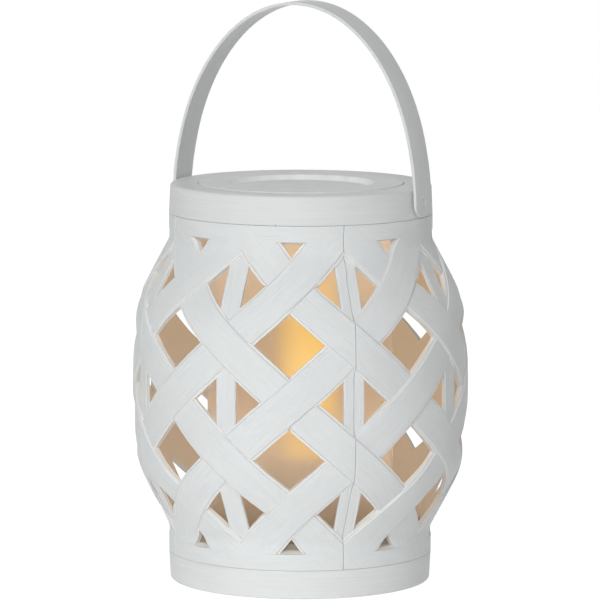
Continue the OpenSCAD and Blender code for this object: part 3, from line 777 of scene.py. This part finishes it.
def dressed(node, edge):
    """A copy of a frame node's mesh with merged points and small rounded edges, in millimetres."""
    mesh = frame["nodes"][node].data.copy()
    work = bmesh.new()
    work.from_mesh(mesh)
    bmesh.ops.remove_doubles(work, verts=work.verts, dist=MERGE_WITHIN)
    bmesh.ops.dissolve_limit(work, angle_limit=FLAT_WITHIN, verts=work.verts, edges=work.edges)
    work.to_mesh(mesh)
    work.free()
    piece = linked(node + "_body", mesh)
    mesh.shade_flat()
    if edge > 0:
        bevel = piece.modifiers.new("Edges", "BEVEL")
        bevel.width, bevel.segments = edge * MM, 2
        bevel.limit_method, bevel.angle_limit = "ANGLE", radians(40)
        bevel.miter_outer = "MITER_ARC"
        applied(piece)
    smooth(piece.data)
    return piece


def dress(*rows):
    """Settles dressed copies of frame nodes, from rows of a node, its finish and its rounding."""
    for node, finish, edge in rows:
        settle(dressed(node, edge), finish, node)


# ---- Finishes ----

class Paint(Tree):
    """The shader tree of one finish."""

    def __init__(self, name, owner=None):
        self.owner = owner or bpy.data.materials.new(name)
        self.owner.use_nodes = True
        self.owner.node_tree.nodes.clear()
        super().__init__(self.owner.node_tree)

    def place(self):
        """Object coordinates."""
        return self.node("ShaderNodeTexCoord").other("Object")

    def xyz(self):
        """Object coordinates, one by one."""
        return self.parts(self.place())

    def grain(self):
        """Place across and along the grain, as a piece's own tree keeps it."""
        return self.node("ShaderNodeAttribute", {"attribute_name": "grain"}).other("Vector")

    def stretched(self, place, x, y, z):
        """A place in units of a pattern's own lengths, in millimetres."""
        return self.node(
            "ShaderNodeVectorMath", {"operation": "DIVIDE"},
            {0: place, 1: (x * MM, y * MM, z * MM)})

    def lines(self, x, y, z, detail=2.0):
        """Noise on Object coordinates, drawn out to lengths in millimetres."""
        return self.noise(self.stretched(self.place(), x, y, z), detail)

    def cloud(self, size, detail=2.0):
        """Soft patches of a size in millimetres."""
        return self.lines(size, size, size, detail)

    def clouded(self, tone, dark):
        """A white that varies softly over a piece, down to a share of its tone."""
        return self.mix((self.cloud(22) * 1.6 - 0.3).clip(), rgba(tone, dark), rgba(tone, 1.02))

    def bump(self, height, depth):
        return self.node("ShaderNodeBump", Strength=1.0, Distance=depth * MM, Height=height)

    def specks(self, spacing, size):
        """1 in small round specks that lie about a spacing apart, in millimetres."""
        cell = self.node(
            "ShaderNodeTexVoronoi", Vector=self.stretched(self.place(), spacing, spacing, spacing),
            Scale=1.0)
        chance = self.parts(cell.other("Color"))[0]
        return ((chance * size / spacing - cell) * 60).clip()

    def blend(self, share, first, second):
        """A shader between two others, or between nothing and another."""
        shaders = {1: first, 2: second} if first else {2: second}
        return self.node("ShaderNodeMixShader", None, {0: share, **shaders})

    def principled(self, **sockets):
        shader = self.node("ShaderNodeBsdfPrincipled", **sockets)
        self.node("ShaderNodeOutputMaterial", Surface=shader)
        return self.owner


def rgba(tone, level=1.0):
    return (tone[0] * level, tone[1] * level, tone[2] * level, 1.0)


def moulded_white(name, tone, reach, depth, grained=False, over=None):
    """Satin white plastic with fine streaks, whose size along x, y and z is in millimetres.
    A paint that goes over part of it is given as a function."""
    p = Paint(name)
    run = p.grain() if grained else p.place()
    streaks = p.noise(p.stretched(run, *reach), detail=1.5, rough=0.55)
    tinted = p.clouded(tone, 0.965)
    if over:
        tinted = over(p, tinted)
    return finished_white(p, tinted, streaks, streaks + p.cloud(0.35, 1.0) * 0.18, depth)


def finished_white(p, tinted, streaks, height, depth, **more):
    """The last steps that every white plastic shares: dull streaks, dark specks and the bump."""
    dull, speck = (0.66, 0.67, 0.67, 1), (0.16, 0.14, 0.11, 1)
    tinted = p.mix((streaks * 2 - 0.62).clip() * 0.35, tinted, dull)
    return p.principled(
        Base_Color=p.mix(p.specks(15, 0.55) * 0.6, tinted, speck),
        Roughness=0.44 + streaks * 0.12, Specular_IOR_Level=0.4, Normal=p.bump(height, depth),
        **more)


def basket_white(looks):
    """White plastic of the basket: grooves along the strips, window walls in a warmer white that is
    painted lamp light, and inner faces with a painted warm tint and glow of the lamp's light.
    """
    p = Paint("Basket white")
    run = p.grain()
    # Rise is 0 on inner faces, 1 on outer ones and between them on the walls
    rise = p.parts(run)[2]
    face = ((rise - 0.88) * 12).clip()
    wall = (rise * 12).clip() * ((0.8 - rise) * 14).clip()
    inside = 1 - (rise * 9).clip()
    grooves = p.noise(p.stretched(run, 0.4, 14, 1), detail=1.0) * face
    broad = p.noise(p.stretched(run, 2.2, 30, 1)) * face
    # The walls' warmer white is painted lamp light
    tinted = p.mix(wall, p.clouded(looks.basket, 0.97), rgba(looks.wall))
    # Painted lamp light: the inner faces take a warm tint and a glow, though their plastic is white
    tinted = p.mix(inside, tinted, rgba(looks.inside))
    return finished_white(
        p, tinted, grooves * 0.7 + broad * 0.3, grooves + broad * 0.5, 0.24,
        Emission_Color=p.mix(inside, BLACK, rgba(looks.inside)),
        Emission_Strength=looks.inside_strength)


def tube_finish(looks):
    """Frosted tube, filled with a painted glow of the lamp's light and marked by fine drawing
    lines.
    """
    p = Paint("Frosted tube")
    lines = p.lines(0.9, 0.9, 30, detail=3.0)
    height = p.xyz()[2]
    # Places up the tube and how strong the painted glow of the lamp's light is there
    levels = ((0, 0.1), (0.25, 0.42), (0.45, 0.25), (0.62, 0.25), (0.86, 0.55), (1, 0.4))
    halo = p.node(
        "ShaderNodeValToRGB", {"stops": [(at, rgba(looks.halo, level)) for at, level in levels]},
        {0: (height - TUBE_LOW.z) / (TUBE_HIGH.z - TUBE_LOW.z)})
    return p.principled(
        Base_Color=p.mix(lines * 0.25, rgba(looks.tube), rgba(looks.tube, 0.9)),
        Roughness=0.38 + lines * 0.06, IOR=1.3, Transmission_Weight=0.78,
        Emission_Color=halo, Emission_Strength=looks.halo_strength, Normal=p.bump(lines, 0.02))


def cover_finish(looks):
    """Glowing flame cover, brightest at its middle and on the side that the flame leans to."""
    p = Paint("Flame cover")
    flicker = p.lines(7, 7, 26)
    x, y, z = p.xyz()
    low, peak, high = COVER_LOW.z - 28 * MM, 89 * MM, COVER_HIGH.z + 14 * MM
    rise = least(((z - low) / (peak - low)).clip(), ((high - z) / (high - peak)).clip())
    aside = (x * 0.9 + y * 0.44 - 4.5 * MM) / (12 * MM)
    lean = (1.1 - aside * aside * 0.75).clip()
    glow = (rise * rise * (3 - rise * 2) * lean * (0.9 + flicker * 0.2)).clip()
    return p.principled(
        Base_Color=p.mix((glow * 2).clip(), rgba(looks.tube), rgba(looks.glow, 0.8)),
        Roughness=0.45 + flicker * 0.1,
        Emission_Color=p.mix(glow, (0.16, 0.11, 0.06, 1), rgba(looks.glow)),
        Emission_Strength=looks.glow_strength)


def plain_moulding(name, tone, rough=0.55):
    """Dark or plain moulded plastic with a fine spark-eroded grain."""
    p = Paint(name)
    grit = p.cloud(0.5)
    return p.principled(
        Base_Color=p.mix(p.cloud(14), rgba(tone, 0.88), rgba(tone, 1.1)),
        Roughness=rough - 0.08 + grit * 0.16, Normal=p.bump(grit, 0.03))


def metal(name, tone, rough, wear):
    """Plated metal with drawing lines and dull patches."""
    p = Paint(name)
    lines = p.lines(0.3, 5, 0.3, detail=3.0)
    dull = (p.cloud(4, 3.0) * 3 - 1.3).clip() * wear
    return p.principled(
        Base_Color=p.mix(dull, rgba(tone), rgba(tone, 0.62)), Metallic=1.0,
        Roughness=rough + lines * 0.12 + dull * 0.2, Normal=p.bump(lines, 0.01))


def cell_finish():
    """Cell jacket: a dark sleeve between copper bands, and bare steel at both ends."""
    p = Paint("Cell jacket")
    sleeve, copper, steel = (0.035, 0.038, 0.042, 1), (0.62, 0.33, 0.16, 1), (0.7, 0.7, 0.7, 1)
    steel_from, copper_from, edge = 24.3 * MM, 15.5 * MM, 0.1 * MM
    away = abs(p.xyz()[0])
    fine = p.lines(0.6, 8, 8)
    end = ((away - steel_from) / edge).clip()
    band = ((away - copper_from) / edge).clip() * (1 - end)
    return p.principled(
        Base_Color=p.mix(end, p.mix(band, sleeve, copper), steel),
        Metallic=most(end, band * 0.7), Roughness=0.28 + fine * 0.14, Coat_Weight=0.3,
        Normal=p.bump(fine, 0.006))


def sleeve_finish():
    """Lead sleeves: red on one side of the lamp and black on the other, with a soft shine."""
    p = Paint("Lead sleeve")
    black, red = (0.025, 0.025, 0.028, 1), (0.50, 0.03, 0.02, 1)
    rub = p.cloud(1.2)
    right = (p.xyz()[0] / (0.2 * MM) + 0.5).clip()
    return p.principled(
        Base_Color=p.mix(right, black, red), Roughness=0.38 + rub * 0.16, Normal=p.bump(rub, 0.02))


def board_finish():
    """Green board: solder mask over square-cornered tracks, with tinned pads."""
    p = Paint("Control board")
    mask, copper, tin = (0.012, 0.11, 0.035, 1), (0.03, 0.20, 0.07, 1), (0.72, 0.72, 0.70, 1)
    tracks = p.node(
        "ShaderNodeTexVoronoi", {"distance": "MANHATTAN", "feature": "F1"},
        Vector=p.stretched(p.place(), 2.6, 2.6, 2.6), Scale=1.0)
    track = 1 - (abs(tracks - 0.5) * 14).clip()
    pads = p.specks(3.4, 1.1)
    return p.principled(
        Base_Color=p.mix(pads, p.mix(track, mask, copper), tin), Metallic=pads * 0.9,
        Roughness=0.34 + track * 0.08, Normal=p.bump(track + pads, 0.03))


def sheet_finish(looks):
    """Light sheet: yellowish film, darker along the rows of chips, with a painted glow of the
    chips' light on it.
    """
    p = Paint("Light sheet")
    lowest, apart = 0.0539, 0.00825
    rows = (((p.xyz()[2] - lowest) * (tau / apart)).cos() * 4).clip()
    return p.principled(
        Base_Color=p.mix(rows, (0.70, 0.62, 0.40, 1), (0.62, 0.40, 0.16, 1)), Roughness=0.5,
        Emission_Color=rgba(looks.glow), Emission_Strength=0.4)


def chip_finish(looks):
    """Light chip: clear resin over a yellow phosphor."""
    p = Paint("Light chip")
    fleck = p.cloud(0.4, 1.0)
    return p.principled(
        Base_Color=p.mix(fleck, (0.85, 0.60, 0.12, 1), (0.95, 0.75, 0.30, 1)),
        Roughness=0.25 + fleck * 0.1, Coat_Weight=0.6,
        Emission_Color=rgba(looks.glow), Emission_Strength=2.0)


# ---- Operators ----

class LANTERN_OT_basket(Operator):
    """Weaves the four lattice panels of the basket"""

    bl_idname = "lantern.basket"
    bl_label = "Basket"

    def execute(self, context):
        sizes, looks = context.scene.lantern_basket, context.scene.lantern_finish
        tree = Basket(sizes).build()
        white = basket_white(looks)
        for k, side in enumerate(("front", "right", "back", "left")):
            values = {
                "Turn": k * PANEL_TURN, "Seed": k * 3.7, "Finish": white,
                "Cut back": 0.36 if side == "right" else 0.0, **labels(sizes)}
            panel = grown("lattice_" + side, tree, values)
            smooth(panel.data)
            settle(panel, white, "lattice_panel_" + side)
        return {"FINISHED"}


class LANTERN_OT_housing(Operator):
    """Turns the lid and dresses the collar, the base tray and the battery door"""

    bl_idname = "lantern.housing"
    bl_label = "Collar, lid and base"

    def execute(self, context):
        looks, lid = context.scene.lantern_finish, context.scene.lantern_lid
        drawn = (26, 26, 0.7)
        collar = moulded_white("Collar white", looks.collar, drawn, 0.03)
        base = moulded_white("Base white", looks.base, drawn, 0.03, over=self.shaded(looks))
        # The lid's white carries a painted highlight on its dish wall
        polished = self.polished(looks, lid)
        lid_white = moulded_white("Lid white", looks.base, (5, 5, 5), 0.015, over=polished)
        dress(("top_collar", collar, 0.3), ("base_tray", base, 0.3), ("battery_door", base, 0.2))
        settle(self.lid(lid), lid_white, "lid")
        return {"FINISHED"}

    @staticmethod
    def shaded(looks):
        """Paints shade on what stands behind the basket: a dark warm colour there stands in for the
        shade inside it.
        """
        def paint(p, tinted):
            height = p.xyz()[2]
            return p.mix(((height - PANEL_LOW) / (0.3 * MM)).clip(), tinted, rgba(looks.hidden))
        return paint

    @staticmethod
    def polished(looks, sizes):
        """Paints a highlight on the sloping wall of the lid's dish: a lighter colour there stands
        in for the light that it catches.
        """
        def paint(p, tinted):
            x, y, z = p.xyz()
            middle, half = sizes.dish + sizes.dish_slope / 2, sizes.dish_slope / 2
            away = abs((x * x + y * y).root() - middle) / half
            return p.mix((1.5 - away).clip(), tinted, rgba(looks.polish))
        return paint

    @staticmethod
    def lid(sizes):
        """The lid: a rim with soft edges round a shallow dish."""
        low, top, rim = LID_LOW.z, LID_HIGH.z, LID_HIGH.x
        seat = BODY_TOP - sizes.rim
        lip = TUBE_HIGH.x - TUBE_WALL - sizes.tube_gap
        dish, edge = sizes.dish, sizes.dish_edge
        slope, floor = dish + sizes.dish_slope, top - sizes.dish_depth
        soft = 0.3 * MM
        return turned("lid_body", [
            (0, low, 0), (slope, low, edge), (lip, (low + seat) / 2, soft), (lip, seat, 0),
            (rim, seat, soft), (rim, top, sizes.rim_edge), (slope, top, edge),
            (dish, floor, edge), (0, floor, 0)])


class LANTERN_OT_handle(Operator):
    """Bends the strap handle and turns its two studs"""

    bl_idname = "lantern.handle"
    bl_label = "Handle and studs"

    def execute(self, context):
        sizes, looks = context.scene.lantern_handle, context.scene.lantern_finish
        white = moulded_white("Strap white", looks.strap, (1.1, 20, 1), 0.008, grained=True)
        strap = grown("strap", Strap(sizes).build(), {"Finish": white, **labels(sizes)})
        smooth(strap.data, 40)
        settle(strap, white, "handle")
        stud_white = moulded_white("Stud white", looks.strap, (3, 3, 3), 0.01)
        for node, turn in (("stud_right", pi / 2), ("stud_left", -pi / 2)):
            settle(self.stud(node, sizes, turn), stud_white, node)
        return {"FINISHED"}

    @staticmethod
    def stud(node, sizes, turn):
        """A stud whose head lies below the strap's face, turned from Z towards its own side."""
        low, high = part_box(node)
        start = min(abs(low.x), abs(high.x))
        floor = sizes.outer - sizes.recess_depth + 0.05 * MM
        face = floor + sizes.head_thick
        piece = turned(node + "_body", [
            (0, start, 0), (sizes.shank, start, 0.3 * MM), (sizes.shank, floor, 0),
            (sizes.head, floor, 0.05 * MM), (sizes.head, face, 0.12 * MM), (0, face, 0),
        ], steps=64)
        upright = Matrix.Translation((0, 0, sizes.pivot))
        piece.data.transform(upright @ Matrix.Rotation(turn, 4, "Y"))
        return piece


class LANTERN_OT_lamp(Operator):
    """Turns the frosted tube and the flame cover, and sets the light chips in rows"""

    bl_idname = "lantern.lamp"
    bl_label = "Tube and lamp"

    def execute(self, context):
        looks, sizes = context.scene.lantern_finish, context.scene.lantern_chips
        wall, cover_wall, dome = TUBE_WALL, 1.2 * MM, 5 * MM
        out, low, high = TUBE_HIGH.x, TUBE_LOW.z, TUBE_HIGH.z
        tube = turned("frosted_tube", [
            (out - wall, low, 0.3 * MM), (out, low, 0.3 * MM),
            (out, high, 0.5 * MM), (out - wall, high, 0.5 * MM)])
        settle(tube, tube_finish(looks), "diffuser_tube")
        out, low, high = COVER_HIGH.x, COVER_LOW.z, COVER_HIGH.z
        cover = turned("flame_cover_body", [
            (out - cover_wall, low, 0.2 * MM), (out, low, 0.2 * MM), (out, high, dome),
            (0, high, 0), (0, high - cover_wall, 0),
            (out - cover_wall, high - cover_wall, dome - cover_wall),
        ], steps=96, bend_steps=12)
        settle(cover, cover_finish(looks), "flame_cover")
        values = {"Finish": chip_finish(looks), **labels(sizes)}
        chips = grown("chips", Chips(sizes).build(), values)
        smooth(chips.data, 40)
        settle(chips, None, "led_chips")
        dress(
            ("led_sheet", sheet_finish(looks), 0),
            ("led_core", plain_moulding("Lamp black", (0.03, 0.03, 0.032)), 0.3),
            ("lamp_holder", plain_moulding("Holder moulding", (0.72, 0.66, 0.56)), 0.3))
        return {"FINISHED"}


class LANTERN_OT_bay(Operator):
    """Finishes the battery bay, the board, the switch and the leads"""

    bl_idname = "lantern.bay"
    bl_label = "Battery bay"

    def execute(self, context):
        grey = plain_moulding("Inner moulding", (0.57, 0.54, 0.48))
        deck = plain_moulding("Deck moulding", (0.34, 0.29, 0.23))
        black = plain_moulding("Switch black", (0.022, 0.022, 0.025), rough=0.45)
        steel = metal("Steel", (0.62, 0.62, 0.62), 0.28, 0.5)
        nickel = metal("Contact metal", (0.66, 0.65, 0.60), 0.22, 0.3)
        cell, sleeve, board = cell_finish(), sleeve_finish(), board_finish()
        dress(
            ("battery_box", grey, 0.2), ("lamp_deck", deck, 0.3), ("switch_body", black, 0.2),
            ("switch_knob", black, 0.3), ("board_chip", black, 0.15), ("control_board", board, 0.1),
            ("door_screw", steel, 0.12), ("board_screws", steel, 0.12),
            ("deck_screws", steel, 0.12), ("contact_plates", nickel, 0.1),
            ("battery_1", cell, 0.3), ("battery_2", cell, 0.3), ("battery_3", cell, 0.3),
            ("battery_leads", sleeve, 0), ("lead_wires", sleeve, 0), ("contact_springs", nickel, 0))
        return {"FINISHED"}


class LANTERN_OT_stage(Operator):
    """Sets up the camera, the lamps, the white room and the floor"""

    bl_idname = "lantern.stage"
    bl_label = "Stage"

    def execute(self, context):
        scene = context.scene
        stage = scene.lantern_stage
        scene.view_settings.view_transform = "Standard"
        data = bpy.data.cameras.new("Camera")
        data.lens, data.sensor_width, data.shift_x = stage.lens, 36, stage.shift
        data.clip_end = 50
        scene.camera = self.aimed(
            data, stage.azimuth, stage.reach, stage.height, stage.aim, stage.roll)
        self.room(scene, stage)
        self.floor(stage.azimuth - 0.3)
        self.lamp("Front softbox", stage.azimuth - 0.18, 0.52, 18.5)
        self.lamp("Left softbox", stage.azimuth - 1.3, 0.25, 1.2)
        return {"FINISHED"}

    @staticmethod
    def aimed(data, azimuth, reach, height, aim, roll=0.0):
        """Stands a camera or a lamp somewhere, turned to a height on the lantern's axis."""
        thing = linked(data.name, data)
        place = Vector((reach * sin(azimuth), -reach * cos(azimuth), height))
        look = (Vector((0, 0, aim)) - place).to_track_quat("-Z", "Y")
        thing.location = place
        thing.rotation_euler = (look @ Quaternion((0, 0, 1), roll)).to_euler()
        return thing

    @classmethod
    def lamp(cls, name, azimuth, elevation, power):
        """A square softbox that looks at the lantern's middle."""
        distance, size, aim = 1.9, 1.2, 0.1
        data = bpy.data.lights.new(name, "AREA")
        data.shape, data.size, data.energy = "SQUARE", size, power
        reach, rise = distance * cos(elevation), distance * sin(elevation)
        cls.aimed(data, azimuth, reach, aim + rise, aim)

    @staticmethod
    def seen(p):
        """1 for what the camera sees, also in a reflection or through a clear piece."""
        path = p.node("ShaderNodeLightPath")
        seen = most(path.other("Is Camera Ray"), path.other("Is Glossy Ray"))
        return most(seen, path.other("Is Transmission Ray"))

    def room(self, scene, stage):
        """Even light, a little dimmer from above and from the right; white where it is seen."""
        scene.world = bpy.data.worlds.new("White room")
        p = Paint("White room", scene.world)
        x, y, up = p.parts(p.node("ShaderNodeTexCoord").other("Generated"))
        right = x * cos(stage.azimuth) + y * sin(stage.azimuth)
        level = (1 - up * stage.dim_above) * (1 - right * stage.dim_right) * stage.ambient
        even = p.node("ShaderNodeBackground", Color=WHITE, Strength=level)
        white = p.node("ShaderNodeBackground", Color=WHITE, Strength=1.0)
        p.node("ShaderNodeOutputWorld", Surface=p.blend(self.seen(p), even, white))

    def floor(self, toward):
        """A pale disc, white where it is seen, with a painted pool of light near the lantern and in
        front of it that lights the lantern from below.
        """
        mesh = bpy.data.meshes.new("Floor")
        work = bmesh.new()
        bmesh.ops.create_circle(work, cap_ends=True, segments=96, radius=1.6)
        work.to_mesh(mesh)
        work.free()
        mesh.transform(Matrix.Translation((0, 0, -0.2 * MM)))
        floor = linked("Floor", mesh)
        p = Paint("Pale floor")
        dim, light, faint = (
            p.node("ShaderNodeBsdfDiffuse", Color=rgba(WHITE, level))
            for level in (0.80, 0.84, 0.35))
        x, y, z = p.xyz()
        near = (1.3 - (x * x + y * y).root() / 0.4).clip()
        front = (0.2 + (x * sin(toward) - y * cos(toward)) / 0.25).clip()
        # Painted pool of light: the floor glows near the lantern and in front of it
        bounce = p.blend(near * front * 0.6, None, p.node("ShaderNodeEmission"))
        glow = p.node("ShaderNodeEmission", Color=rgba(WHITE, 0.95))
        pale = p.node("ShaderNodeAddShader", None, {0: p.blend(p.cloud(60), dim, light), 1: bounce})
        bright = p.node("ShaderNodeAddShader", None, {0: faint, 1: glow})
        shown = p.blend(self.seen(p), pale, bright)
        p.node("ShaderNodeOutputMaterial", Surface=shown)
        mesh.materials.append(p.owner)


class LANTERN_PT_panel(Panel):
    """Steps and sizes of the lantern"""

    bl_idname = "LANTERN_PT_panel"
    bl_label = "Lantern"
    bl_space_type = "VIEW_3D"
    bl_region_type = "UI"
    bl_category = "Lantern"

    def draw(self, context):
        for step in STEPS:
            self.layout.operator(step.bl_idname)
        for group in ("lantern_basket", "lantern_lid", "lantern_handle", "lantern_chips"):
            sizes = getattr(context.scene, group)
            for field in sizes.bl_rna.properties:
                if field.identifier not in ("rna_type", "name"):
                    self.layout.prop(sizes, field.identifier)


GROUPS = {
    "lantern_basket": BasketSizes, "lantern_handle": HandleSizes, "lantern_lid": LidSizes,
    "lantern_chips": ChipSizes, "lantern_finish": Finish, "lantern_stage": Stage}
STEPS = (
    LANTERN_OT_stage, LANTERN_OT_basket, LANTERN_OT_housing, LANTERN_OT_handle, LANTERN_OT_lamp,
    LANTERN_OT_bay)


def register():
    for group in GROUPS.values():
        bpy.utils.register_class(group)
    for step in (*STEPS, LANTERN_PT_panel):
        bpy.utils.register_class(step)
    for name, group in GROUPS.items():
        setattr(bpy.types.Scene, name, PointerProperty(type=group))


def unregister():
    for name in GROUPS:
        delattr(bpy.types.Scene, name)
    for step in (LANTERN_PT_panel, *reversed(STEPS)):
        bpy.utils.unregister_class(step)
    for group in reversed(GROUPS.values()):
        bpy.utils.unregister_class(group)


def main():
    register()
    bpy.ops.lantern.stage()
    bpy.ops.lantern.basket()
    bpy.ops.lantern.housing()
    bpy.ops.lantern.handle()
    bpy.ops.lantern.lamp()
    bpy.ops.lantern.bay()


if __name__ == "__main__":
    main()
